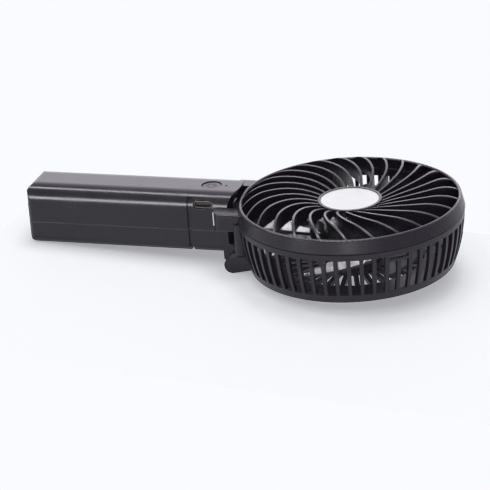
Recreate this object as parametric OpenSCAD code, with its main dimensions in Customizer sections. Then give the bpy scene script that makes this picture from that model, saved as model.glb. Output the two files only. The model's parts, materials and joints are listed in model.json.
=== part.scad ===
// Folding handheld fan, battery powered, lying grille up with its head unfolded
// Origin: centre of the head's rear face, on the axis of the impeller
// X runs from the handle to the head, Y across the handle, Z out of the grille

/* [Head] */
// Outer radius of the front ring at the seam
head_r = 52.2; // [52.2:0.1:52.5]
// Height of the front ring above the seam
ring_h = 6.1; // [6:0.1:6.6]
// Radial width of the front ring
ring_w = 2.6; // [2.5:0.1:3]
// Inward lean of the ring's outer face over its height
ring_lean = 1.5; // [1:0.1:1.6]
// Rounding of the ring's upper edge
ring_round = 0.9; // [0.5:0.1:1]
// Depth of the locating lip under the ring
lip_h = 2; // [1:0.1:2.2]
// Thickness of the locating lip
lip_t = 1.2; // [0.8:0.1:1.6]
// Depth of the rear cage, from its seam to its rear face
cage_depth = 25.4; // [25:0.1:26]
// Wall of the cage
cage_wall = 1.8; // [1.5:0.1:2]
// Thickness of the rear face
cage_floor = 2; // [1.6:0.1:2.4]
// Radius of the cage at its rear face
base_r = 46.8; // [46:0.1:48]
// Radius of the bow in the cage's side
cage_bow = 72; // [66:1:120]
// Rounding of the cage's rear edge
cage_round = 1; // [0.6:0.1:1.2]
// Step from the ring in to the cage's side
cage_step = 0.2; // [0.1:0.05:0.4]
// Depth and height of the shadow line at a seam
seam_line = 0.55; // [0.2:0.05:0.6]

/* [Cage openings] */
// Angle from one side slot to the next
slot_pitch = 6.36; // [6.3:0.02:6.6]
// Angle by which the slots stand off the handle's line
slot_shift = -1.7; // [-2:0.1:0]
// [48:4:60]
// Width of a side slot
slot_w = 3.9; // [3.2:0.1:4]
// Depth of the slots' upper ends below the seam
slot_top = 3.2; // [2.6:0.1:4]
// Depth of the slots' lower ends below the seam
slot_low = 21.5; // [18:0.1:21.8]
// Angle either side of the handle that has no slots
solid_angle = 28; // [27:1:34]
// Openings in the rear face
rear_count = 30; // [20:1:32]
// Width of a bar between two rear openings
rear_bar = 2; // [1.6:0.1:2.4]
// Radius of the rear openings' outer ends
rear_r = 33; // [28:0.1:38]
// Slots between the handle and a latch, counted from the handle's line
latch_slot = 20; // [16:1:22]
// Width of a latch window
latch_w = 9.4; // [8:0.1:9.6]
// Height of a latch window
latch_h = 1.6; // [1.2:0.1:2]
// Height of the bar under a latch window
latch_bar = 1.2; // [0.8:0.1:1.6]

/* [Grille] */
// Swirling vanes in the grille
vane_count = 26; // [20:1:30]
// Thickness of a vane
vane_t = 1.05; // [0.9:0.05:1.5]
// Turn of a vane from hub to ring
vane_sweep = 33.8; // [20:0.1:40]
// Lag of a vane behind an even turn
vane_lag = 3; // [0:0.1:5]
// Angle at which the first vane leaves the hub
vane_start = 1; // [0:0.1:13]
// Radius at which the vanes are highest
crest_r = 38.5; // [36:0.1:40]
// Height of the vanes' crest above the seam
crest_h = 9.5; // [9:0.1:10.6]
// Height of the vanes at the hub above the seam
vane_hub_h = 4.7; // [4.6:0.1:5]
// Height of the vanes at the ring above the seam
vane_ring_h = 5.2; // [4.8:0.1:5.6]
// Height of the vanes' lower edges above the seam
vane_low = 2; // [1.5:0.1:2.6]
// Outer radius of the grille's hub
hub_r = 14.6; // [14:0.1:15.5]
// Height of the hub's rim above the seam
hub_h = 5.4; // [5.1:0.1:5.8]
// Wall of the hub's rim
hub_wall = 1.2; // [1:0.1:1.6]
// Thickness of the disc in the hub
disc_t = 1.6; // [1.2:0.1:2]
// Depth of the disc's face below the hub's rim
disc_sink = 0.35; // [0.1:0.05:0.6]

/* [Handle] */
// Length of the handle
handle_len = 102.1; // [101:0.1:112]
// Width of the handle
handle_w = 26.4; // [26:0.1:27.6]
// Height of the handle
handle_h = 28.3; // [28.1:0.1:28.7]
// Height of the handle's top above the head's seam
handle_rise = 8.8; // [8.4:0.1:9]
// Wall of the handle
handle_wall = 1.8; // [1.6:0.1:1.9]
// Rounding of the handle's upper shoulders
shoulder_r = 7.5; // [6:0.1:8.5]
// Rounding of the handle's lower edges
belly_r = 4; // [3:0.1:4.5]
// Rounding of the free end seen from above
end_r = 3; // [2.4:0.1:4]
// Rounding of the free end's lower edge
heel_r = 5; // [3:0.1:6]
// Rounding of the free end's upper edge
brow_r = 3.5; // [2.1:0.1:4]
// Radius of the nose seen from above
nose_r = 27; // [26.5:0.5:34]
// Overhang of the nose's upper edge past the ring
nose_over = 0.6; // [0.4:0.1:0.8]
// Gap between the nose and the head's side
nose_gap = 1; // [0.8:0.1:1.4]
// Height of the nose's slanted upper face
nose_lip = 5.3; // [4.5:0.1:6]
// Height of the lower shell
lower_h = 11.4; // [10.5:0.1:12]
// Distance of the side groove from the nose
groove_at = 21.6; // [20:0.1:26]
// Width of the side groove
groove_w = 2.2; // [1.2:0.1:2.6]
// Depth of the side groove
groove_d = 1; // [0.5:0.1:1.2]
// Depth of the groove's upper end below the handle's top
groove_top = 2; // [1.5:0.1:4]

/* [Hinge] */
// Radius of the lugs' round ends
lug_r = 3.6; // [3.4:0.1:3.8]
// Thickness of a lug
lug_t = 5.8; // [4.5:0.1:6.4]
// Distance of the pivot beyond the ring's outer face
pivot_out = 0; // [0:0.1:0.3]
// Height of a lug where it joins the cage
lug_root = 8.6; // [7:0.1:9]
// Radius of the handle's round leg ends
leg_r = 3.5; // [3:0.1:3.6]
// Thickness of a leg
leg_t = 5; // [4:0.1:6]
// Reach of a leg behind the pivot
leg_back = 5.5; // [4.5:0.1:5.8]
// Radius of the hinge pin
pin_r = 1.5; // [1.2:0.05:1.8]
// Skin left over the pin's blind end
pin_skin = 1.2; // [0.8:0.1:2]
// Radius of a friction washer
washer_r = 3.2; // [2.6:0.1:3.4]
// Gap between the handle's side and the head's ears
side_gap = 0.5; // [0.4:0.05:0.7]
// Thickness of an ear across the handle
ear_t = 8.4; // [7:0.1:9]
// Reach of an ear past the ring
ear_len = 7.6; // [6.5:0.1:8.5]
// Height of an ear above the seam
ear_up = 3.4; // [2.6:0.1:3.6]
// Depth of an ear below the seam
ear_down = 5.1; // [4.4:0.1:5.6]
// Depth of the ears' parting line below the seam
ear_part = 1; // [0.5:0.1:1.4]
// Rounding of an ear's outer corner
ear_r = 5; // [3:0.1:6]
// Rounding of an ear's long edge
ear_edge_r = 1.4; // [0.6:0.1:2]
// Radius of the screw pillar under an ear
pillar_r = 3; // [2.6:0.1:3.2]
// Depth of the pillar's end below the seam
pillar_low = 17; // [14:0.1:18]
// Width of a detent leaf's edge
leaf_w = 0.9; // [0.6:0.1:1.4]
// Height of a detent leaf
leaf_h = 6.6; // [5:0.1:8]
// Depth of a detent leaf in the wall
leaf_d = 1; // [0.6:0.1:1.2]

/* [Controls and power] */
// Distance of the button's centre from the nose
button_at = 14.2; // [13:0.1:15]
// Radius of the button
button_r = 4.5; // [4:0.1:5]
// Travel of the button
button_travel = 0.6; // [0.3:0.05:0.65]
// Depth of the button's face below the handle's top
button_sink = 0.4; // [0:0.05:0.5]
// Width of the ring round the button's sign
sign_r = 2.2; // [1.5:0.1:2.8]
// Distance of the light from the nose
led_at = 7; // [6:0.1:7.4]
// Radius of the light's window
led_r = 0.6; // [0.5:0.05:0.8]
// Distance of the charging socket from the nose
port_at = 14.9; // [14:0.1:16]
// Depth of the charging socket's centre below the handle's top
port_z = 4.9; // [4.7:0.05:5.1]
// Width of the charging socket
port_w = 8.94; // [8.9:0.01:9]
// Height of the charging socket
port_h = 3.26; // [3.2:0.01:3.3]
// Depth of the charging socket
port_d = 7.3; // [6.5:0.1:8]
// Sheet of the charging socket
port_t = 0.3; // [0.25:0.01:0.35]
// Depth of the socket's mouth behind the handle's side
port_sink = 0.9; // [0.6:0.1:1.2]
// Thickness of the circuit board
board_t = 1.6; // [1.2:0.1:1.6]
// Length of the circuit board
board_len = 18.8; // [18.4:0.1:19.4]
// Gap between the nose and the circuit board
board_at = 5.2; // [5:0.1:5.6]
// Diameter of the battery cell
cell_d = 18.3; // [18:0.1:18.6]
// Thickness of a contact plate
contact_t = 0.4; // [0.3:0.05:0.6]
// Distance of the rear screws from the free end
screw_end = 4.3; // [4.2:0.1:4.6]
// Distance of the screws from the handle's middle
screw_side = 8; // [7:0.1:8.4]
// Radius of a screw's shank
screw_r = 1; // [0.8:0.05:1.1]
// Radius of a screw's head
screw_head_r = 1.9; // [1.7:0.1:2]
// Height of a screw's head
screw_head_h = 1.2; // [1:0.1:1.5]
// Length of a shell screw's shank
screw_len = 16; // [14:0.1:18]

/* [Motor and impeller] */
// Radius of the motor's can
motor_r = 12.1; // [11.5:0.1:12.5]
// Height of the motor
motor_h = 13.5; // [13:0.1:14]
// Wall of the motor's can
motor_wall = 0.8; // [0.6:0.05:1]
// Thickness of the motor's end bell
bell_t = 2; // [1.6:0.1:2.4]
// Radius of the motor's shaft
shaft_r = 1; // [0.8:0.05:1.2]
// Radius of a bearing bush
bush_r = 2.6; // [2.2:0.1:3]
// Length of a bearing bush
bush_len = 2.8; // [2.4:0.1:3.2]
// Radius of the armature
armature_r = 8.8; // [8:0.1:9]
// Thickness of a magnet
magnet_t = 1.6; // [1.2:0.1:1.8]
// Height of the motor cup on the rear face
cup_h = 9; // [6:0.1:10]
// Wall of the motor cup
cup_wall = 1.8; // [1.4:0.1:2.2]
// Impeller blades
blade_count = 7; // [3:1:7]
// Radius of the impeller
blade_r = 45.5; // [43:0.1:45.8]
// Thickness of an impeller blade
blade_t = 1.4; // [1:0.1:1.8]
// Slope of an impeller blade
blade_slope = 14; // [13:1:17]
// Span of an impeller blade seen from above
blade_span = 48; // [40:1:50]
// Angle by which a blade's tip leads its root
blade_sweep = 32; // [15:1:34]
// Angle at which the first blade stands
blade_start = 17; // [0:1:51]
// Radius of the impeller's hub
rotor_r = 15.6; // [15.4:0.1:17]
// Depth of the impeller's hub below the seam
rotor_top = 2.5; // [2.2:0.1:3]
// Height of the impeller's hub
rotor_h = 10; // [9:0.1:10.6]
// Wall of the impeller's hub
rotor_wall = 1.6; // [1.4:0.1:1.8]

/* [Fits] */
// Clearance round the button
button_gap = 0.3; // [0.25:0.05:0.4]
// Running clearance of pin and shaft
run_gap = 0.05; // [0.03:0.01:0.08]
// Clearance of pieces that are pushed together
push_gap = 0.05; // [0.03:0.01:0.1]
// Clearance round the battery cell
cell_gap = 0.2; // [0.1:0.05:0.3]
// Gap between the folded head's rear face and the handle
fold_gap = 0.3; // [0.2:0.05:0.5]
// Gap round the handle's legs in the head
notch_gap = 0.5; // [0.4:0.05:0.8]

/* [Hidden] */
$fn = 64;
black = [0.11, 0.11, 0.12];
e = 0.01;

// Head
rear_z = 0;
seam_z = rear_z + cage_depth;
ring_in_r = head_r - ring_w;
cage_r = head_r - cage_step;
cage_in_r = cage_r - cage_wall;
floor_z = rear_z + cage_floor;
lip_r = cage_in_r - 4 * push_gap;
hub_in_r = hub_r - hub_wall;
hub_seat_z = seam_z + hub_h - disc_sink - disc_t;
vane_r0 = hub_r - hub_wall / 2;
vane_r1 = ring_in_r + ring_w / 3;
crest_z = seam_z + crest_h;
part_z = seam_z - ear_part;
latch_places = [latch_slot + 0.5, round(360 / slot_pitch) - latch_slot - 0.5];
bow_c = bow_centre([cage_r, seam_z], [base_r, rear_z], cage_bow);

// Handle's height and the hinge midway between its underside and the rear face
top_z = seam_z + handle_rise;
bottom_z = top_z - handle_h;
pivot_x = -(head_r + pivot_out);
pivot_z = (rear_z + bottom_z - fold_gap) / 2;
half_w = handle_w / 2;
ear_in = half_w + side_gap;
ear_out = ear_in + ear_t;
lug_out = ear_in + lug_t;
ear_x = -head_r - ear_len;
ear_root = -head_r * 4 / 7;
pillar_y = ear_in + ear_t * 0.82;
pillar_x = -sqrt(pow(cage_r - cage_wall / 2, 2) - pow(pillar_y, 2));

// Handle
nose_x = -(head_r - nose_over);
face_x = -(head_r + nose_gap);
end_x = nose_x - handle_len;
shell_z = bottom_z + lower_h;
ceiling_z = top_z - handle_wall;
ground_z = bottom_z + handle_wall;
leg_x = pivot_x - leg_back;
leg_top = bottom_z + 4.5;
notch_r = norm([leg_back, bottom_z - pivot_z]) + notch_gap;
groove_x = nose_x - groove_at;
leaf_x = ear_x - 1.7;
leaf_z = seam_z + 0.7;
button_x = nose_x - button_at;
led_x = nose_x - led_at;
port_x = nose_x - port_at;
port_cz = top_z - port_z;
port_y = -half_w + port_sink;
board_z = port_cz - port_h / 2;
board_x = nose_x - board_at - board_len;
flange_z = ceiling_z - 0.8;
plunger_z = flange_z - button_travel - 0.1;
boss_r = screw_head_r + 0.4;
screw_x = [end_x + screw_end, board_x - boss_r - 0.3];
cell_x1 = screw_x[1] - boss_r - contact_t - 0.3;
cell_z = ground_z + cell_d / 2 + 1.6;
cell_len = cell_x1 - screw_x[0] - boss_r - contact_t - 0.3;
contact_w = cell_d * 0.66;
contact_top = cell_z + cell_d * 0.27;

// Motor
motor_top = floor_z + motor_h;
shaft_top = seam_z - rotor_top - 0.8;
shaft_low = floor_z + 0.4;
blade_mid = seam_z - rotor_top - 10;
blade_room = 17.6;
boss_h = 4;
boss_out_r = 3;

// Point where a line from p touches a circle, on the side s
function touch(c, r, p, s) =
    let (d = p - c, a = atan2(d[1], d[0]), b = acos(r / norm(d)))
    c + r * [cos(a + s * b), sin(a + s * b)];

// Centre line of a grille vane: its angle, its points and its side direction
function vane_angle(r) =
    let (u = (r - vane_r0) / (vane_r1 - vane_r0))
    vane_start + vane_sweep * u - vane_lag * sin(180 * u) * (1 - u);
function vane_point(r) = r * [cos(vane_angle(r)), sin(vane_angle(r))];
function vane_side(r) =
    let (t = vane_point(r + 0.1) - vane_point(r - 0.1))
    [-t[1], t[0]] / norm(t);

// Centre of an arc of radius r through p and q, on the side of the axis
function bow_centre(p, q, r) =
    let (d = q - p, n = [d[1], -d[0]] / norm(d), h = sqrt(r * r - d * d / 4))
    (p + q) / 2 + (n[0] < 0 ? h : -h) * n;

// Radius of an arc that drops by h over a run of w
function arc_r(w, h) = (w * w + h * h) / (2 * h);

// Solid along X from a section in Y and Z
module along_x(x0, x1) {
    translate([x0, 0, 0]) rotate([90, 0, 90]) linear_extrude(x1 - x0) children();
}

// Solid along Y from a profile in X and Z
module along_y(y0, y1) {
    translate([0, y1, 0]) rotate([90, 0, 0]) linear_extrude(y1 - y0) children();
}

// Cylinder along Y
module rod_y(r, x, z, y0, y1) {
    translate([x, y0, z]) rotate([-90, 0, 0]) cylinder(r = r, h = y1 - y0);
}

// Handle, drawn inward by d: section, side profile and plan
module handle_section(d) {
    w = half_w - d;
    rt = shoulder_r - d;
    rb = belly_r - d;
    translate([-w, bottom_z + belly_r]) square([2 * w, handle_h - shoulder_r - belly_r]);
    translate([rt - w, bottom_z + belly_r]) square([2 * (w - rt), handle_h - belly_r - d]);
    translate([rb - w, bottom_z + d]) square([2 * (w - rb), handle_h - shoulder_r - d]);
    for (s = [-1, 1]) {
        translate([s * (w - rt), top_z - shoulder_r]) circle(rt);
        translate([s * (w - rb), bottom_z + belly_r]) circle(rb);
    }
}
module handle_profile(d) {
    rh = heel_r - d;
    rb = brow_r - d;
    x0 = end_x + d;
    z0 = bottom_z + d;
    z1 = top_z - d;
    polygon([[x0 + rh, z0], [face_x - d, z0], [face_x - d, top_z - nose_lip],
        [nose_x - d, z1], [x0 + rb, z1], [x0, z1 - rb], [x0, z0 + rh]]);
    translate([x0 + rh, z0 + rh]) circle(rh);
    translate([x0 + rb, z1 - rb]) circle(rb);
}
module handle_plan(d) {
    w = half_w - d;
    r = end_r - d;
    x0 = end_x + d;
    cx = nose_x - nose_r;
    intersection() {
        union() {
            translate([x0 + r, -w]) square([handle_len, 2 * w]);
            translate([x0, r - w]) square([handle_len, 2 * (w - r)]);
            for (s = [-1, 1]) translate([x0 + r, s * (w - r)]) circle(r);
        }
        union() {
            translate([x0 - 1, -w - 1]) square([cx - x0 + 1, 2 * w + 2]);
            translate([cx, 0]) circle(nose_r - d);
        }
    }
}
module handle_solid(d) {
    intersection() {
        along_x(end_x - 1, nose_x + 1) handle_section(d);
        along_y(-half_w - 1, half_w + 1) handle_profile(d);
        translate([0, 0, bottom_z - 1]) linear_extrude(handle_h + 2) handle_plan(d);
    }
}
module above_seam(z) {
    translate([end_x - 5, -half_w - 5, z]) cube([handle_len + 10, handle_w + 10, handle_h]);
}
module side_groove() {
    difference() {
        translate([groove_x - groove_w / 2, -half_w - 2, bottom_z - 2])
            cube([groove_w, handle_w + 4, handle_h - groove_top + 2]);
        along_x(groove_x - groove_w, groove_x + groove_w) handle_section(groove_d);
    }
}
module port_shape(d) {
    r = port_h / 2 + d;
    for (s = [-1, 1]) translate([s * (port_w - port_h) / 2, 0]) circle(r);
    translate([-(port_w - port_h) / 2, -r]) square([port_w - port_h, 2 * r]);
}
module port_solid(d, y0, y1) {
    translate([port_x, y1, port_cz]) rotate([90, 0, 0]) linear_extrude(y1 - y0) port_shape(d);
}
module screw_places() {
    for (x = screw_x, s = [-1, 1]) translate([x, s * screw_side, 0]) children();
}
module board_posts() {
    for (x = [board_x + 2.2, board_x + board_len - 2.2], s = [-1, 1])
        translate([x, s * (half_w - handle_wall - 2.6), 0]) children();
}
module leaf_block(d) {
    for (s = [-1, 1])
        translate([leaf_x - leaf_w / 2 - d, s * (half_w - leaf_d / 2) - leaf_d / 2 - d,
            leaf_z - leaf_h - d])
            cube([leaf_w + 2 * d, leaf_d + 2 * d, leaf_h + 2 * d]);
}

module handle_upper_shell() {
    color(black) {
        difference() {
            handle_solid(0);
            handle_solid(handle_wall);
            above_seam(shell_z - handle_h);
            translate([button_x, 0, ceiling_z - 1]) cylinder(r = button_r + button_gap, h = handle_wall + 2);
            translate([led_x, 0, ceiling_z - 1]) cylinder(r = led_r, h = handle_wall + 2);
            port_solid(0.35, -half_w - 2, -half_w + 4);
            side_groove();
            leaf_block(push_gap);
        }
        screw_places() difference() {
            translate([0, 0, shell_z]) cylinder(r = boss_r, h = ceiling_z - 0.5 - shell_z);
            translate([0, 0, shell_z - 1]) cylinder(r = screw_r + push_gap, h = screw_len - lower_h + 4.6);
        }
    }
}

// Leg of the handle seen from the side, round at the pivot
module leg_profile() {
    c = [pivot_x, pivot_z];
    a = [leg_x, pivot_z + 0.5];
    b = [face_x, leg_top];
    polygon([[leg_x, leg_top], a, touch(c, leg_r, a, 1), c, touch(c, leg_r, b, -1), b]);
    translate(c) circle(leg_r);
}

module handle_lower_shell() {
    color(black) {
        difference() {
            union() {
                difference() {
                    handle_solid(0);
                    handle_solid(handle_wall);
                    side_groove();
                    leaf_block(push_gap);
                }
                for (s = [0, 1]) mirror([0, s, 0]) along_y(half_w - leg_t, half_w) leg_profile();
            }
            above_seam(shell_z);
            difference() {
                above_seam(shell_z - seam_line);
                handle_solid(seam_line);
            }
            screw_places() translate([0, 0, bottom_z - 1])
                cylinder(r = screw_head_r + 0.2, h = handle_wall + 2);
            rod_y(pin_r + run_gap, pivot_x, pivot_z, -half_w - 1, half_w + 1);
        }
        screw_places() difference() {
            translate([0, 0, ground_z - 0.5]) cylinder(r = boss_r, h = shell_z - ground_z + 0.5);
            translate([0, 0, ground_z - 1]) cylinder(r = screw_r + push_gap, h = lower_h);
            translate([0, 0, bottom_z]) cylinder(r = screw_head_r + 0.2, h = handle_wall + screw_head_h);
        }
        board_posts() translate([0, 0, ground_z - 0.5])
            cylinder(r = 1.8, h = board_z - board_t - ground_z + 0.5);
        for (k = [0.15, 0.5, 0.85]) difference() {
            translate([cell_x1 - k * cell_len - 0.8, 0.4 - half_w + handle_wall / 2, ground_z - 0.4])
                cube([1.6, handle_w - handle_wall - 0.8, shell_z - ground_z]);
            translate([cell_x1 - cell_len, 0, cell_z]) rotate([0, 90, 0])
                cylinder(r = cell_d / 2 + cell_gap, h = cell_len);
        }
    }
}

module battery_cell() {
    color([0.2, 0.45, 0.6]) translate([cell_x1 - cell_len, 0, cell_z]) rotate([0, 90, 0]) {
        cylinder(r = cell_d / 2, h = cell_len - 1);
        cylinder(r = cell_d * 0.17, h = cell_len);
    }
}

module battery_contacts() {
    color([0.75, 0.75, 0.7]) for (x = [cell_x1, cell_x1 - cell_len - contact_t])
        translate([x, -contact_w / 2, ground_z]) cube([contact_t, contact_w, contact_top - ground_z]);
}

module circuit_board() {
    w = handle_w - 2 * handle_wall - 1;
    color([0.05, 0.3, 0.15]) translate([board_x, -w / 2, board_z - board_t])
        cube([board_len, w, board_t]);
}

module usb_c_socket() {
    color([0.75, 0.75, 0.77]) difference() {
        port_solid(0, port_y, port_y + port_d);
        port_solid(-port_t, port_y - 1, port_y + port_d - 1);
    }
}

module usb_c_tongue() {
    color([0.05, 0.05, 0.05]) translate([port_x - 3.3, port_y + 0.8, port_cz - 0.35])
        cube([6.6, port_d - 1.8, 0.7]);
}

module tact_switch() {
    color([0.3, 0.3, 0.3]) translate([button_x, 0, board_z]) {
        translate([-2.2, -2.2, 0]) cube([4.4, 4.4, plunger_z - board_z - 0.7]);
        cylinder(r = 1.4, h = plunger_z - board_z);
    }
}

module status_led() {
    color([0.85, 0.9, 0.85]) {
        translate([led_x - 1, -0.8, board_z]) cube([2, 1.6, 1.1]);
        translate([led_x, 0, board_z]) cylinder(r = led_r - push_gap, h = top_z - 0.4 - board_z);
    }
}

module screw(length) {
    difference() {
        union() {
            cylinder(r = screw_head_r, h = screw_head_h);
            cylinder(r = screw_r, h = screw_head_h + length);
        }
        translate([0, 0, -e]) cylinder(r = screw_head_r * 0.5, h = screw_head_h * 0.6, $fn = 6);
    }
}

module shell_screws() {
    color("silver") screw_places() translate([0, 0, bottom_z + handle_wall]) screw(screw_len);
}

module detent_leaves() {
    color("silver") leaf_block(0);
}

module friction_washers() {
    color("ivory") for (s = [0, 1]) mirror([0, s, 0]) difference() {
        rod_y(washer_r, pivot_x, pivot_z, half_w, ear_in);
        rod_y(pin_r + run_gap, pivot_x, pivot_z, half_w - 1, ear_in + 1);
    }
}

module power_button() {
    face = top_z - button_sink;
    color(black) difference() {
        translate([button_x, 0, 0]) {
            translate([0, 0, flange_z]) cylinder(r = button_r + 0.8, h = ceiling_z - flange_z);
            translate([0, 0, flange_z]) cylinder(r = button_r, h = face - flange_z);
        }
        translate([button_x, 0, face - 0.2]) difference() {
            cylinder(r = sign_r, h = 1);
            cylinder(r = sign_r - 0.4, h = 2);
            translate([0, -0.8, 0]) cube([sign_r + 1, 1.6, 1]);
        }
        translate([button_x + 0.6, -0.2, face - 0.2]) cube([sign_r, 0.4, 1]);
    }
}

// Section of the front ring, with the lip that sits inside the cage
module ring_section() {
    top = seam_z + ring_h;
    n = [ring_h, ring_lean] / norm([ring_h, ring_lean]);
    c = [head_r - (ring_round + (ring_h - ring_round) * n[1]) / n[0], top - ring_round];
    polygon([[ring_in_r, seam_z], [head_r, seam_z], c + ring_round * n, c, [c[0], top], [ring_in_r, top]]);
    translate(c) circle(ring_round);
    translate([lip_r - lip_t, seam_z - lip_h]) square([lip_t, lip_h + 1]);
}

// Section under the vanes' upper edges: a long rise to the crest, then a short fall
module dome_section() {
    rise = arc_r(crest_r - vane_r0, crest_h - vane_hub_h);
    fall = arc_r(ring_in_r - crest_r, crest_h - vane_ring_h);
    low = seam_z + vane_low;
    intersection() {
        translate([vane_r0, low]) square([crest_r - vane_r0, crest_h]);
        translate([crest_r, crest_z - rise]) circle(rise, $fn = 200);
    }
    intersection() {
        translate([crest_r, low]) square([vane_r1 - crest_r, crest_h]);
        translate([crest_r, crest_z - fall]) circle(fall, $fn = 200);
    }
}
module vane_plan() {
    steps = 12;
    rs = [for (i = [0:steps]) vane_r0 - 0.3 + (vane_r1 - vane_r0 + 0.6) * i / steps];
    polygon(concat([for (r = rs) vane_point(r) + vane_side(r) * vane_t / 2],
        [for (i = [steps:-1:0]) vane_point(rs[i]) - vane_side(rs[i]) * vane_t / 2]));
}

// Ear beside the handle, seen from above, cut clear of the opening
module ear_plan(inner) {
    difference() {
        union() {
            translate([ear_x, ear_in]) square([ear_root - ear_x, ear_t - ear_r]);
            translate([ear_x + ear_r, ear_in]) square([ear_root - ear_x - ear_r, ear_t]);
            translate([ear_x + ear_r, ear_out - ear_r]) circle(ear_r);
        }
        translate([ear_x - 1, 0]) square([head_r, ear_in]);
        circle(inner, $fn = 128);
    }
}
module ear_block(z0, z1, inner) {
    translate([0, 0, z0]) linear_extrude(z1 - z0) ear_plan(inner);
}
module ear_edge(z, s) {
    translate([ear_in - 1, s > 0 ? z - 9 : z]) square([ear_t + 1 - ear_edge_r, 9]);
    translate([ear_in - 1, s > 0 ? z - 9 : z + ear_edge_r]) square([ear_t + 1, 9 - ear_edge_r]);
    translate([ear_out - ear_edge_r, z - s * ear_edge_r]) circle(ear_edge_r);
}
// Both ears from z0 to z1, rounded along the upper edge (s = 1), the lower (-1) or none (0)
module ears(z0, z1, inner, s) {
    for (m = [0, 1]) mirror([0, m, 0])
        if (s == 0) ear_block(z0, z1, inner);
        else intersection() {
            ear_block(z0, z1, inner);
            along_x(ear_x - 1, -20) ear_edge(s > 0 ? z1 : z0, s);
        }
}
module pillar_places() {
    for (s = [-1, 1]) translate([pillar_x, s * pillar_y, 0]) children();
}

module front_grille() {
    color(black) difference() {
        union() {
            rotate_extrude($fn = 180) ring_section();
            ears(seam_z, seam_z + ear_up, ring_in_r + 1, 1);
            ears(part_z, seam_z + 0.5, cage_r + 0.3, 0);
            intersection() {
                for (k = [0:vane_count - 1]) rotate([0, 0, k * 360 / vane_count])
                    translate([0, 0, seam_z]) linear_extrude(crest_h + 1) vane_plan();
                rotate_extrude($fn = 180) dome_section();
            }
            translate([0, 0, seam_z + vane_low]) cylinder(r = hub_r, h = hub_h - vane_low, $fn = 96);
        }
        translate([0, 0, hub_seat_z]) cylinder(r = hub_in_r, h = hub_h, $fn = 96);
        pillar_places() translate([0, 0, part_z - 1])
            cylinder(r = screw_r + push_gap, h = ear_up + ear_part);
    }
}

module hub_disc() {
    color("white") translate([0, 0, hub_seat_z])
        cylinder(r = hub_in_r - push_gap, h = disc_t, $fn = 96);
}

// Section of the cage's bowed side, drawn inward by the wall and the floor
module cage_section(d, f, over = 0) {
    z = rear_z + f;
    intersection() {
        translate([0, z]) square([head_r, seam_z + over - z]);
        translate(bow_c) circle(cage_bow - d, $fn = 360);
    }
}
// Outer section, its rear edge rounded
module cage_form() {
    q = cage_round;
    z = rear_z + q;
    x = bow_c[0] + sqrt(pow(cage_bow - q, 2) - pow(bow_c[1] - z, 2));
    t = bow_c + ([x, z] - bow_c) * cage_bow / (cage_bow - q);
    intersection() {
        translate([0, t[1]]) square([head_r, seam_z - t[1]]);
        translate(bow_c) circle(cage_bow, $fn = 360);
    }
    polygon([[0, rear_z], [x, rear_z], t, [0, t[1]]]);
    translate([x, z]) circle(q);
}
module cage_slots() {
    first = ceil((solid_angle - slot_shift) / slot_pitch);
    last = floor((360 - solid_angle - slot_shift) / slot_pitch);
    for (k = [first:last]) rotate([0, 0, 180 + slot_shift + k * slot_pitch]) {
        top = min([for (at = latch_places) abs(k - at)]) < 1 ? slot_top + latch_h + latch_bar : slot_top;
        translate([base_r - 4, -slot_w / 2, seam_z - slot_low])
            cube([head_r - base_r + 6, slot_w, slot_low - top]);
    }
    for (at = latch_places) rotate([0, 0, 180 + slot_shift + at * slot_pitch])
        translate([lip_r - 2, -latch_w / 2, seam_z - slot_top - latch_h])
            cube([cage_wall + 4, latch_w, latch_h]);
}
module rear_slots() {
    r0 = motor_r + cup_wall + 3.5;
    step = 360 / rear_count;
    w0 = 2 * r0 * sin(step / 2) - rear_bar;
    w1 = 2 * rear_r * sin(step / 2) - rear_bar;
    for (k = [0:rear_count - 1]) rotate([0, 0, 180 + (k + 0.5) * step])
        translate([0, 0, rear_z - 1]) linear_extrude(cage_floor + 2)
            polygon([[r0, -w0 / 2], [rear_r, -w1 / 2], [rear_r, w1 / 2], [r0, w0 / 2]]);
}
module lug_profile() {
    c = [pivot_x, pivot_z];
    root = pivot_x + 12;
    a = [root, rear_z + lug_root];
    b = [root, rear_z + 1.6];
    polygon([touch(c, lug_r, a, 1), a, b, touch(c, lug_r, b, -1), c]);
    translate(c) circle(lug_r);
}

// Room for the handle's legs, drawn outward by a wall
module notch_profile(d) {
    r = notch_r + d;
    k = r * tan(22.5);
    translate([pivot_x, pivot_z]) polygon([[-12, -12], [r, -12], [r, k], [k, r], [-12, r]]);
}

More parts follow.
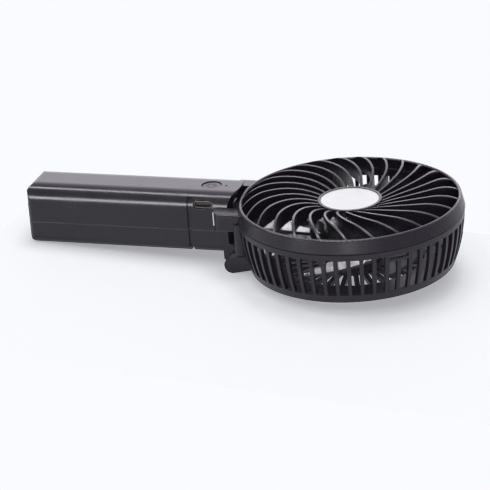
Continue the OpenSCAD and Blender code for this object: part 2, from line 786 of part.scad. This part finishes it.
module rear_cage() {
    color(black) difference() {
        union() {
            difference() {
                rotate_extrude($fn = 180) cage_form();
                rotate_extrude($fn = 180) cage_section(cage_wall, cage_floor, 1);
                cage_slots();
            }
            intersection() {
                along_y(-ear_in - 1.5, ear_in + 1.5) notch_profile(cage_wall);
                rotate_extrude($fn = 180) cage_section(0.1, 0.1);
            }
            translate([0, 0, floor_z - e]) difference() {
                cylinder(r = motor_r + push_gap + cup_wall, h = cup_h);
                cylinder(r = motor_r + push_gap, h = cup_h + 1);
            }
            ears(seam_z - ear_down, part_z, cage_in_r + 0.4, -1);
            pillar_places() {
                translate([0, 0, seam_z - pillar_low + pillar_r])
                    cylinder(r = pillar_r, h = pillar_low - pillar_r - ear_part);
                translate([0, 0, seam_z - pillar_low + pillar_r]) sphere(pillar_r);
            }
            difference() {
                for (s = [0, 1]) mirror([0, s, 0]) along_y(ear_in, lug_out) lug_profile();
                rotate_extrude($fn = 180) cage_section(cage_wall / 2, cage_floor / 2);
            }
        }
        along_y(-ear_in, ear_in) notch_profile(0);
        translate([0, 0, seam_z - lip_h - 0.3]) cylinder(r = lip_r + push_gap, h = lip_h + 1, $fn = 180);
        rear_slots();
        difference() {
            translate([0, 0, seam_z - seam_line]) cylinder(r = head_r + 1, h = 1, $fn = 180);
            translate([0, 0, seam_z - 1]) cylinder(r = cage_r - seam_line, h = 3, $fn = 180);
            translate([ear_x - 1, -ear_out - 1, seam_z - 1]) cube([ear_len + 9, 2 * ear_out + 2, 2]);
        }
        rod_y(pin_r + push_gap / 2, pivot_x, pivot_z, pin_skin - lug_out, lug_out + 1);
        pillar_places() {
            translate([0, 0, seam_z - pillar_low - 1]) cylinder(r = screw_r + push_gap, h = pillar_low + 2);
            translate([0, 0, seam_z - pillar_low - 1]) cylinder(r = screw_head_r + 0.2, h = 5);
        }
        motor_screw_places() {
            translate([0, 0, rear_z - 1]) cylinder(r = screw_r + push_gap, h = cage_floor + 2);
            translate([0, 0, rear_z - 1]) cylinder(r = screw_head_r + 0.2, h = screw_head_h + 1);
        }
        translate([0, 0, shaft_low - 1]) cylinder(r = shaft_r + 0.6, h = cage_floor + 2);
    }
}

module ear_screws() {
    color("silver") pillar_places() translate([0, 0, seam_z - pillar_low + 4 - screw_head_h])
        screw(pillar_low - 4 + ear_up - 1.4);
}

module hinge_pin() {
    color("silver") rod_y(pin_r, pivot_x, pivot_z, pin_skin - lug_out, lug_out);
}

module motor_can() {
    color([0.7, 0.7, 0.72]) difference() {
        translate([0, 0, floor_z]) cylinder(r = motor_r, h = motor_h);
        translate([0, 0, floor_z - 1]) cylinder(r = motor_r - motor_wall, h = motor_h + 1 - motor_wall);
        translate([0, 0, floor_z]) cylinder(r = bush_r, h = motor_h + 1);
    }
}

module motor_screw_places() {
    for (s = [-1, 1]) translate([0, s * motor_r * 0.6, 0]) children();
}

module motor_end_bell() {
    color([0.15, 0.15, 0.16]) difference() {
        translate([0, 0, floor_z]) cylinder(r = motor_r - motor_wall - push_gap, h = bell_t);
        translate([0, 0, floor_z - 1]) cylinder(r = bush_r, h = bell_t + 2);
        motor_screw_places() translate([0, 0, floor_z - 1])
            cylinder(r = screw_r + push_gap, h = bell_t + 2);
    }
}

module bush(z) {
    translate([0, 0, z]) difference() {
        cylinder(r = bush_r - push_gap / 2, h = bush_len);
        translate([0, 0, -1]) cylinder(r = shaft_r + run_gap, h = bush_len + 2);
    }
}
module motor_bushes() {
    color([0.7, 0.55, 0.3]) {
        bush(floor_z);
        bush(motor_top - motor_wall - 1);
    }
}

module motor_magnets() {
    r = motor_r - motor_wall - push_gap;
    color([0.25, 0.25, 0.25]) for (s = [0, 1]) mirror([0, s, 0]) intersection() {
        translate([0, 0, floor_z + bell_t]) difference() {
            cylinder(r = r, h = motor_h - motor_wall - bell_t - 1);
            translate([0, 0, -1]) cylinder(r = r - magnet_t, h = motor_h);
        }
        translate([-r, 3, floor_z]) cube([2 * r, r, motor_h]);
    }
}

module motor_screws() {
    color("silver") motor_screw_places() translate([0, 0, rear_z])
        screw(cage_floor - screw_head_h + bell_t - 0.2);
}

module motor_shaft() {
    color("silver") translate([0, 0, shaft_low]) cylinder(r = shaft_r, h = shaft_top - shaft_low);
}

module motor_armature() {
    z0 = floor_z + bush_len + 0.6;
    color([0.6, 0.4, 0.25]) translate([0, 0, z0]) difference() {
        cylinder(r = armature_r, h = motor_top - motor_wall - 1.6 - z0);
        translate([0, 0, -1]) cylinder(r = shaft_r + push_gap / 2, h = motor_h);
    }
}

// Edges of a blade seen from above: its tip leads, and its leading corner is taken back
function blade_edge(u, s) =
    let (r0 = rotor_r - rotor_wall, r = r0 + u * (blade_r + 1 - r0),
        a = s * blade_span / 2 + blade_sweep * (1 - u) + (s < 0 ? 3 * pow(u, 8) : 0))
    r * [cos(a), sin(a)];
module blade_plan() {
    steps = 10;
    difference() {
        intersection() {
            circle(blade_r, $fn = 128);
            polygon(concat([for (i = [0:steps]) blade_edge(i / steps, -1)],
                [for (i = [steps:-1:0]) blade_edge(i / steps, 1)]));
        }
        circle(rotor_r - rotor_wall / 2, $fn = 96);
    }
}
// One blade: a slice of a wide tube, sloped along the turn
module impeller_blade() {
    bend = 130;
    intersection() {
        translate([0, 0, blade_mid - blade_room / 2]) linear_extrude(blade_room) blade_plan();
        translate([0, 0, blade_mid]) rotate([blade_slope, 0, 0]) translate([-1, 0, bend])
            rotate([0, 90, 0]) difference() {
                cylinder(r = bend + blade_t / 2, h = blade_r + 2, $fn = 360);
                translate([0, 0, -1]) cylinder(r = bend - blade_t / 2, h = blade_r + 4, $fn = 360);
            }
    }
}

module impeller() {
    z1 = seam_z - rotor_top;
    color([0.13, 0.13, 0.14]) difference() {
        union() {
            difference() {
                translate([0, 0, z1 - rotor_h]) cylinder(r = rotor_r, h = rotor_h, $fn = 96);
                translate([0, 0, z1 - rotor_h - 1])
                    cylinder(r = rotor_r - rotor_wall, h = rotor_h - rotor_wall + 1, $fn = 96);
            }
            translate([0, 0, z1 - boss_h]) cylinder(r = boss_out_r, h = boss_h - 1);
            for (k = [0:blade_count - 1]) rotate([0, 0, blade_start + k * 360 / blade_count]) impeller_blade();
        }
        translate([0, 0, z1 - rotor_h]) cylinder(r = shaft_r + push_gap / 2, h = rotor_h - 0.8);
    }
}

handle_upper_shell();
handle_lower_shell();
battery_cell();
battery_contacts();
circuit_board();
usb_c_socket();
usb_c_tongue();
tact_switch();
status_led();
shell_screws();
detent_leaves();
friction_washers();
power_button();
front_grille();
hub_disc();
rear_cage();
ear_screws();
hinge_pin();
motor_can();
motor_end_bell();
motor_bushes();
motor_magnets();
motor_screws();
motor_shaft();
motor_armature();
impeller();
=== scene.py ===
# %% [markdown]
# A folding handheld fan, dressed for a picture.
# The solids arrive as a fixed frame in metres: +X runs from the handle to the head, +Y lies across it, and +Z leaves
# the grille. Nothing of that frame is moved, and every visible shape is one of its solids. This lesson gives each
# solid its finish, and then sets up the table, the light and the camera.

# %% The frame and its size
import json
import math

import bmesh
import bpy
from mathutils import Matrix, Vector

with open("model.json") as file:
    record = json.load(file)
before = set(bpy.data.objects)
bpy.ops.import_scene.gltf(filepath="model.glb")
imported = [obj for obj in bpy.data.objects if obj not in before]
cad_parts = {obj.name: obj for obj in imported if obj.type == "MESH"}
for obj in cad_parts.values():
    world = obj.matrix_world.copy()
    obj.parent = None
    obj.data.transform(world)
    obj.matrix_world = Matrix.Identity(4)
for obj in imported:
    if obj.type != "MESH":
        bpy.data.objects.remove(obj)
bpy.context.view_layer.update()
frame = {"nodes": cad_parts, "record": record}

# %% [markdown]
# The camera.
# A long lens far away keeps the handle's edges nearly parallel, as in a product picture. Its place could be found by
# eye, but here it comes from fitting the rim, the hub and the handle's edges, so the numbers are exact. The camera is
# built from three directions: where it looks, what is right, and what is up, with a small roll.

# %% Camera
LENS, SENSOR_WIDTH, FAR_LIMIT = 181.53, 36.0, 50.0
CAMERA_PLACE = Vector((0.28223, -1.00389, 0.45355))
LOOK = Vector((-0.2906, 0.8735, -0.3905)).normalized()
ROLL = math.radians(-4.31)

level_right = LOOK.cross(Vector((0, 0, 1))).normalized()
level_up = level_right.cross(LOOK)
right = math.cos(ROLL) * level_right + math.sin(ROLL) * level_up
up = math.cos(ROLL) * level_up - math.sin(ROLL) * level_right
camera = bpy.data.objects.new("camera", bpy.data.cameras.new("camera"))
camera.matrix_world = Matrix.Translation(CAMERA_PLACE) @ Matrix((right, up, -LOOK)).transposed().to_4x4()
camera.data.sensor_width = SENSOR_WIDTH
camera.data.lens = LENS
camera.data.clip_end = FAR_LIMIT
bpy.context.scene.collection.objects.link(camera)
bpy.context.scene.camera = camera
print("camera:", LENS, "mm lens,", round(CAMERA_PLACE.length, 2), "m away")

# %% [markdown]
# A finish is a small network of nodes.
# Every finish here needs the same moves: start a material, add a node, and feed its sockets either with a plain value
# or with another node's result. Short helpers do that, so that each finish reads as a recipe. The mix node keeps its
# two colours and their blend at fixed places among its sockets, so these places get names.

# %% Helpers for any network
COLOUR_A, COLOUR_B, COLOUR_OUT = 6, 7, 2


def start_finish(name):
    made = bpy.data.materials.new(name)
    made.use_nodes = True
    return made, made.node_tree.nodes["Principled BSDF"]


def feed(made, node, feeds):
    for socket, value in feeds.items():
        if isinstance(value, bpy.types.NodeSocket):
            made.node_tree.links.new(value, node.inputs[socket])
        else:
            node.inputs[socket].default_value = value


def add(made, kind, feeds=(), **settings):
    node = made.node_tree.nodes.new("ShaderNode" + kind)
    for key, value in settings.items():
        setattr(node, key, value)
    feed(made, node, dict(feeds))
    return node


print("network helpers ready")

# %% [markdown]
# The same few patterns come back in every finish.
# Spots are a noise on the solid's own coordinates, with blotches of a real size. A range turns such a noise into a
# useful span of values, and two of these can be added. A blend goes from one colour to another, and a bump tilts the
# light as a grained skin does.

# %% Helpers for patterns
SPOT_START, SPOT_END = 0.3, 0.7


def spots(made, size, detail=3.0, stretch=(1, 1, 1)):
    """Noise whose blotches are about this size in metres, on the solid's own coordinates."""
    place = add(made, "TexCoord").outputs["Object"]
    turned = add(made, "Mapping", {"Vector": place, "Scale": stretch}).outputs["Vector"]
    return add(made, "TexNoise", {"Vector": turned, "Scale": 1 / size, "Detail": detail}).outputs["Fac"]


def between(made, value, low, high, start=SPOT_START, end=SPOT_END):
    span = {"Value": value, "From Min": start, "From Max": end, "To Min": low, "To Max": high}
    return add(made, "MapRange", span).outputs["Result"]


def blend_colours(made, share, first, second):
    ends = [c if isinstance(c, bpy.types.NodeSocket) else (*c, 1) for c in (first, second)]
    feeds = {0: share, COLOUR_A: ends[0], COLOUR_B: ends[1]}
    return add(made, "Mix", feeds, data_type="RGBA").outputs[COLOUR_OUT]


def total(made, first, second):
    return add(made, "Math", {0: first, 1: second}, operation="ADD").outputs["Value"]


def bumpy(made, height, strength, distance, **base):
    feeds = {"Height": height, "Strength": strength, "Distance": distance, **base}
    return add(made, "Bump", feeds).outputs["Normal"]


print("pattern helpers ready")

# %% [markdown]
# Moulded plastic.
# The shells, the grille, the cage and the impeller are injection moulded. Such plastic is never one even colour: the
# mould leaves a fine spark grain, the gloss drifts a little over the surface, and edges that are handled turn paler
# and smoother. The edges of a mould are also never quite sharp, so a bevel node rounds the light on them by a few
# tenths of a millimetre. Bevelling the solids themselves would change the frame.

# %% The moulded finish
RIM_START, RIM_END = 0.86, 0.995
WEAR_SPOT, DRIFT_SPOT, GRAIN_SPOT = 0.004, 0.018, 0.00035
GRAIN_DEPTH = 0.00004
DARKER, LIGHTER, RUBBED_PALER = 0.82, 1.2, 0.03
GLOSSIER, DULLER, GRAIN_GLOSS = 0.035, 0.045, 0.03


def moulded(name, tone, rough, grain=0.12, edge=0.00035, wear=0.12, pale=None, ior=1.5):
    made, shader = start_finish(name)
    rounded = add(made, "Bevel", {"Radius": edge}, samples=8).outputs["Normal"]
    flat = add(made, "NewGeometry").outputs["Normal"]
    along = add(made, "VectorMath", {0: rounded, 1: flat}, operation="DOT_PRODUCT").outputs["Value"]
    rim = between(made, along, 1.0, 0.0, RIM_START, RIM_END)
    patchy = between(made, spots(made, WEAR_SPOT), 0.0, wear)
    rubbed = add(made, "Math", {0: rim, 1: patchy}, operation="MULTIPLY").outputs["Value"]
    drift = spots(made, DRIFT_SPOT, 4.0)
    body = blend_colours(made, drift, [c * DARKER for c in tone], [c * LIGHTER for c in tone])
    worn = blend_colours(made, rubbed, body, pale or [RUBBED_PALER + c for c in tone])
    fine = spots(made, GRAIN_SPOT, 2.0)
    skin = bumpy(made, fine, grain, GRAIN_DEPTH, Normal=rounded)
    wide_gloss = between(made, drift, rough - GLOSSIER, rough + DULLER)
    gloss = total(made, wide_gloss, between(made, fine, -GRAIN_GLOSS, GRAIN_GLOSS))
    feed(made, shader, {"Base Color": worn, "Roughness": gloss, "Normal": skin, "IOR": ior})
    return made


print("moulded finish ready")

# %% [markdown]
# One black, many surfaces.
# All the outer pieces share one black with a trace of violet, and differ in gloss: the shells are smoothest, the cage
# and the button duller. The impeller is a harder, denser plastic, so it mirrors a little more. The disc in the hub is
# plain white, and the washers in the hinge are raw nylon.

# %% Plastics of the fan
BLACK = (0.025, 0.0215, 0.032)
BLADE_BLACK = (0.025, 0.0235, 0.028)
WHITE = (0.92, 0.92, 0.925)
SHARP_EDGE = 0.0002

finishes = {
    "shell": moulded("shell_satin", BLACK, 0.21, edge=SHARP_EDGE),
    "grille_black": moulded("grille_satin", BLACK, 0.26),
    "cage_black": moulded("cage_satin", BLACK, 0.30),
    "impeller_black": moulded("impeller_gloss", BLADE_BLACK, 0.37, grain=0.03, ior=1.62),
    "button_black": moulded("button_satin", BLACK, 0.30, edge=SHARP_EDGE),
    "tongue_grey": moulded("tongue_grey", (0.075, 0.073, 0.08), 0.34, edge=0.0001),
    "inner_black": moulded("inner_matt", (0.03, 0.029, 0.032), 0.45),
    "switch_black": moulded("switch_matt", (0.02, 0.02, 0.021), 0.42),
    "disc_white": moulded("disc_gloss", WHITE, 0.32, grain=0.06, wear=0.1, pale=(0.7, 0.7, 0.72)),
    "washer_nylon": moulded("washer_nylon", (0.62, 0.6, 0.55), 0.42, pale=(0.7, 0.7, 0.66)),
}
print("moulded finishes:", ", ".join(finishes))

# %% [markdown]
# Metals.
# The socket, screws, pin and motor are metal. Drawn and rolled metal shows fine lines along the way it was worked, so
# the noise is stretched; plated sheet has a soft cloud in its gloss. A metal's colour is its reflection, so the base
# colour is bright and the shader's metallic value is one.

# %% The metal finish
CLOUD_SPOT, METAL_EDGE, LINE_DEPTH = 0.006, 0.00015, 0.00002
CLOUD_DARKER = 0.88
LINE_GLOSSIER, LINE_DULLER = 0.05, 0.07
CLOUD_GLOSSIER, CLOUD_DULLER = 0.03, 0.04


def metal(name, tone, rough, stretch=(1, 1, 12), line=0.0006, depth=0.1):
    made, shader = start_finish(name)
    lines = spots(made, line, 2.0, stretch)
    cloud = spots(made, CLOUD_SPOT, 3.0)
    colour = blend_colours(made, cloud, [c * CLOUD_DARKER for c in tone], tone)
    rounded = add(made, "Bevel", {"Radius": METAL_EDGE}, samples=4).outputs["Normal"]
    skin = bumpy(made, lines, depth, LINE_DEPTH, Normal=rounded)
    line_gloss = between(made, lines, rough - LINE_GLOSSIER, rough + LINE_DULLER)
    gloss = total(made, line_gloss, between(made, cloud, -CLOUD_GLOSSIER, CLOUD_DULLER))
    feed(made, shader, {"Base Color": colour, "Roughness": gloss, "Normal": skin, "Metallic": 1.0})
    return made


metals = {
    "port_steel": metal("port_steel", (0.3, 0.28, 0.26), 0.28, (1, 8, 1), 0.0004),
    "leaf_steel": metal("leaf_steel", (0.86, 0.86, 0.88), 0.22, (1, 1, 8), 0.0005),
    "screw_steel": metal("screw_steel", (0.6, 0.6, 0.61), 0.28, (1, 1, 1), 0.0004),
    "motor_steel": metal("motor_steel", (0.64, 0.63, 0.61), 0.26, (1, 1, 14), 0.0012),
    "nickel": metal("nickel_strip", (0.7, 0.68, 0.62), 0.25, (1, 6, 1), 0.0006),
    "copper": metal("copper_winding", (0.82, 0.4, 0.22), 0.3, (1, 1, 10), 0.0005, 0.5),
    "bush_bronze": metal("bush_bronze", (0.55, 0.38, 0.2), 0.4, (1, 1, 1), 0.0003, 0.25),
}
finishes.update(metals)
print("metal finishes:", ", ".join(metals))

# %% [markdown]
# Inner pieces.
# The circuit board has a lacquer over copper tracks, the cell wears a thin shrunk sleeve, and a ferrite magnet is a
# baked powder. They hardly show, but they are parts in their own right, so each gets the surface it really has. The
# pinhole light is unlit: a near-black, dull plug, darker than the shells and without shine, so it shows as a black
# dot.

# %% Board and sleeve
TRACKS = {"Scale": 260.0, "Mortar Size": 0.035, "Brick Width": 0.9, "Row Height": 0.35}


def lacquered_board():
    made, shader = start_finish("board_lacquer")
    place = add(made, "TexCoord").outputs["Object"]
    tracks = add(made, "TexBrick", {"Vector": place, **TRACKS}, offset=0.37).outputs["Fac"]
    colour = blend_colours(made, tracks, (0.012, 0.07, 0.03), (0.03, 0.16, 0.06))
    gloss = between(made, spots(made, 0.003), 0.2, 0.32)
    skin = bumpy(made, tracks, 0.3, 0.00004)
    feed(made, shader, {"Base Color": colour, "Roughness": gloss, "Normal": skin})
    return made


def shrunk_sleeve():
    made, shader = start_finish("cell_sleeve")
    folds = spots(made, 0.006, 3.0, (0.2, 1, 1))
    colour = blend_colours(made, spots(made, 0.02), (0.05, 0.14, 0.3), (0.07, 0.19, 0.38))
    gloss = between(made, folds, 0.22, 0.36)
    skin = bumpy(made, folds, 0.2, 0.0002)
    feed(made, shader, {"Base Color": colour, "Roughness": gloss, "Normal": skin})
    return made


finishes["board"] = lacquered_board()
finishes["cell_wrap"] = shrunk_sleeve()
print("finishes so far:", len(finishes))

# %% Magnet and light


def baked_powder():
    made, shader = start_finish("magnet_ferrite")
    powder = spots(made, 0.0004, 4.0)
    colour = blend_colours(made, powder, (0.03, 0.03, 0.032), (0.075, 0.073, 0.072))
    gloss = between(made, powder, 0.5, 0.75)
    skin = bumpy(made, powder, 0.35, 0.00008)
    feed(made, shader, {"Base Color": colour, "Roughness": gloss, "Normal": skin})
    return made


def black_dot_light():
    made, shader = start_finish("light_pipe")
    cloud = spots(made, 0.0015)
    # Near black, darker than the shells, and with no mirror shine, so that the pinhole shows as a black dot.
    colour = blend_colours(made, cloud, (0.004, 0.004, 0.005), (0.009, 0.009, 0.011))
    gloss = between(made, cloud, 0.5, 0.62)
    feed(made, shader, {"Base Color": colour, "Roughness": gloss, "Specular IOR Level": 0.0})
    return made


finishes["magnet"] = baked_powder()
finishes["led_clear"] = black_dot_light()
print("all finishes:", len(finishes))

# %% [markdown]
# Giving each solid its finish.
# The record says which slot every solid belongs to. One loop fills the slots, so no piece is left with a plain colour.
# The socket's tongue shares its slot with darker inner pieces, and is a lighter grey than they are.

# %% Finishes on the solids
slot_of = {row["node"]: row["material_slot"] for row in frame["record"]["subparts"]}
slot_of["usb_c_tongue"] = "tongue_grey"
for node_name, solid in frame["nodes"].items():
    solid.data.materials.clear()
    solid.data.materials.append(finishes[slot_of[node_name]])
print("finished solids:", len(slot_of))

# %% [markdown]
# The table.
# The fan lies on its heel and on its two hinge lugs, so the table is tilted four degrees in the frame's own axes. It
# is a grid of nine faces, built straight into place and cut in two. The middle lies under the fan and only catches
# its shadow, so that the page stays even. The rest sends light back at the fan's sides, and the camera doesn't see it.

# %% The table's two sheets
TABLE_SLOPE = -0.069
LUG_FOOT = Vector((-0.0522, 0.0, -0.0008))
LINES_X = (-3.0, -0.172, 0.112, 3.0)
LINES_Y = (-3.0, -0.13, 0.056, 3.0)
GRID_HALF, FACE_HALF = 1.5, 0.5


def table_height(x):
    return LUG_FOOT.z + TABLE_SLOPE * (x - LUG_FOOT.x)


def lay_sheet(name, middle_part):
    """The table's middle, or all that lies round it."""
    sheet = bmesh.new()
    bmesh.ops.create_grid(sheet, x_segments=3, y_segments=3, size=GRID_HALF)
    inner = [face for face in sheet.faces if face.calc_center_median().length < FACE_HALF]
    outer = [face for face in sheet.faces if face not in inner]
    for corner in sheet.verts:
        corner.co.x = LINES_X[round(corner.co.x + GRID_HALF)]
        corner.co.y = LINES_Y[round(corner.co.y + GRID_HALF)]
        corner.co.z = table_height(corner.co.x)
    bmesh.ops.delete(sheet, geom=outer if middle_part else inner, context="FACES")
    laid = bpy.data.objects.new(name, bpy.data.meshes.new(name))
    sheet.to_mesh(laid.data)
    sheet.free()
    bpy.context.scene.collection.objects.link(laid)
    return laid


table = lay_sheet("table", False)
shadow_sheet = lay_sheet("shadow_sheet", True)
print("table slope in degrees:", round(math.degrees(math.atan(TABLE_SLOPE)), 1))

# %% [markdown]
# Paper for the table.
# The table is white paper with a faint fibre. When the head is folded under the handle it goes below the table, which
# would hide it. So the paper asks, with an occlusion node that looks downwards, whether anything lies beneath it, and
# turns clear there. At rest nothing does, and the paper is whole.

# %% Paper
BELOW_REACH = 0.2
CLEAR_AT, WHOLE_AT = 0.97, 0.999

table_paper, paper_shader = start_finish("table_paper")
fibre = spots(table_paper, 0.004, 4.0)
paper_white = blend_colours(table_paper, fibre, (0.87, 0.875, 0.885), (0.9, 0.905, 0.915))
paper_gloss = between(table_paper, fibre, 0.7, 0.85)
feed(table_paper, paper_shader, {"Base Color": paper_white, "Roughness": paper_gloss})
below = add(table_paper, "AmbientOcclusion", {"Distance": BELOW_REACH}, samples=64, inside=True).outputs["AO"]
nothing_below = between(table_paper, below, 0.0, 1.0, CLEAR_AT, WHOLE_AT)
clear = add(table_paper, "BsdfTransparent").outputs["BSDF"]
opened = add(table_paper, "MixShader", {0: nothing_below, 1: clear, 2: paper_shader.outputs["BSDF"]})
feed(table_paper, table_paper.node_tree.nodes["Material Output"], {"Surface": opened.outputs["Shader"]})
for laid in (table, shadow_sheet):
    laid.data.materials.append(table_paper)
table.visible_camera = False
shadow_sheet.is_shadow_catcher = True
print("sheets of paper:", 2)

# %% [markdown]
# The room.
# A white room with a bright wall behind the fan gives the top faces their grey sheen. Only mirrored rays see that
# wall, because as a lamp it would throw a long shadow. The rest of the room is a low, even level, and the page that
# the camera sees is white and no more.

# %% Room
ROOM_LEVEL, FRONT_LEVEL, BACK_LEVEL, PAGE_LEVEL = 0.16, 0.36, 2.15, 1.0
BACK_WALL = Vector((-0.12, 0.93, 0.33)).normalized()
GLOW_POWER = 4.0
ROOM_TINT, PAGE_TINT = (0.985, 0.955, 1.03), (0.956, 0.965, 1.0)

world = bpy.data.worlds.new("studio")
bpy.context.scene.world = world
world.use_nodes = True
towards = add(world, "TexCoord").outputs["Generated"]
facing = add(world, "VectorMath", {0: towards, 1: BACK_WALL}, operation="DOT_PRODUCT").outputs["Value"]
near = between(world, facing, 0.0, 1.0, 0.0, 1.0)
glow = add(world, "Math", {0: near, 1: GLOW_POWER}, operation="POWER").outputs["Value"]
rays = add(world, "LightPath").outputs
mirrored = between(world, glow, FRONT_LEVEL, BACK_LEVEL, 0.0, 1.0)
lit = between(world, rays["Is Glossy Ray"], ROOM_LEVEL, mirrored, 0.0, 1.0)
level = between(world, rays["Is Camera Ray"], lit, PAGE_LEVEL, 0.0, 1.0)
tint = blend_colours(world, rays["Is Camera Ray"], ROOM_TINT, PAGE_TINT)
feed(world, world.node_tree.nodes["Background"], {"Strength": level, "Color": tint})
bpy.context.scene.view_settings.view_transform = "Standard"
print("room: page level", PAGE_LEVEL, "back wall level", BACK_LEVEL)

# %% [markdown]
# Lamps.
# Every lamp is a flat rectangle, set by its place, the point it faces, its two sides and the brightness that a mirror
# would show. Most of them only draw highlights, so they leave matt surfaces alone, and some are kept to a few solids,
# as a flag in front of a lamp does in a studio.

# %% Helpers for lamps


def strip(name, middle, aim, length, width, brightness):
    """A lamp whose length runs along X as far as its aim allows."""
    lamp = bpy.data.lights.new(name, "AREA")
    lamp.shape = "RECTANGLE"
    lamp.size, lamp.size_y = length, width
    lamp.energy = brightness * math.pi * length * width
    made = bpy.data.objects.new(name, lamp)
    back_of_lamp = (Vector(middle) - Vector(aim)).normalized()
    side = back_of_lamp.cross(Vector((1, 0, 0))).normalized()
    across = side.cross(back_of_lamp)
    made.matrix_world = Matrix.Translation(middle) @ Matrix((across, side, back_of_lamp)).transposed().to_4x4()
    made.visible_camera = made.visible_diffuse = False
    bpy.context.scene.collection.objects.link(made)
    return made


def only_on(lamp, node_names):
    flagged = bpy.data.collections.new(lamp.name + "_reach")
    for node_name in node_names:
        flagged.objects.link(frame["nodes"][node_name])
    lamp.light_linking.receiver_collection = flagged


print("lamp helpers ready")

# %% [markdown]
# Highlights.
# Two long strips draw the thin lines along the handle's rounded edge: one from above, one from low in front. Three
# small ones touch the grille's ring. A last one, behind the fan, gives the impeller's blades their grey sheen; the
# vanes would block it, so it casts no shadow.

# %% Highlight lamps
HANDLE_EDGE = Vector((-0.1, -0.012, 0.032))
HANDLE_PIECES = ("handle_upper_shell", "handle_lower_shell", "usb_c_socket", "usb_c_tongue", "detent_leaves")
RING_FRONT = Vector((0.0, -0.05, 0.02))
BLADES_MIDDLE = Vector((0.0, 0.0, 0.015))
BLADE_TINT = (1.0, 0.96, 1.02)

from_above = HANDLE_EDGE + 0.9 * Vector((-0.29, -0.03, 0.957))
from_low = HANDLE_EDGE + 0.6 * Vector((-0.29, -0.93, 0.24))
strip("overhead_strip", from_above, HANDLE_EDGE, 1.2, 0.12, 12.5)
only_on(strip("low_strip", from_low, HANDLE_EDGE, 1.2, 0.15, 10.5), HANDLE_PIECES)
for name, place, length, width, brightness in (
    ("ring_left", (-0.29, -0.44, 0.14), 0.16, 0.08, 4.5),
    ("ring_right", (0.115, -0.53, 0.14), 0.12, 0.08, 6.0),
    ("ring_low", (-0.05, -0.65, 0.08), 1.2, 0.14, 0.5),
):
    only_on(strip(name, place, RING_FRONT, length, width, brightness), ["front_grille"])
blades = strip("blade_strip", (-0.39, 0.91, 0.165), BLADES_MIDDLE, 0.7, 0.5, 3.4)
blades.data.color = BLADE_TINT
only_on(blades, ["impeller"])
blades.data.use_shadow = blades.data.cycles.use_multiple_importance_sampling = False
print("highlight lamps:", len(bpy.data.lights))

# %% [markdown]
# Key and fill.
# The key hangs high and a little behind, so that the soft shadow falls towards the viewer. The fill is a wide ceiling
# without shadow or reflection, which lifts the shadow to the pale grey of a bright room. Together they stay at a plain
# level: a white sheet comes out white, and no more.

# %% Key and fill
FAN_MIDDLE = Vector((0.0, 0.0, 0.0))

key = strip("back_key", (0.02, 0.3, 1.16), FAN_MIDDLE, 0.5, 0.5, 3.5)
key.visible_diffuse = True
fill = strip("ceiling_fill", (0.0, -0.5, 2.0), FAN_MIDDLE, 2.4, 2.4, 1.55)
fill.visible_diffuse, fill.visible_glossy = True, False
fill.data.use_shadow = False
print("lamps:", len(bpy.data.lights))
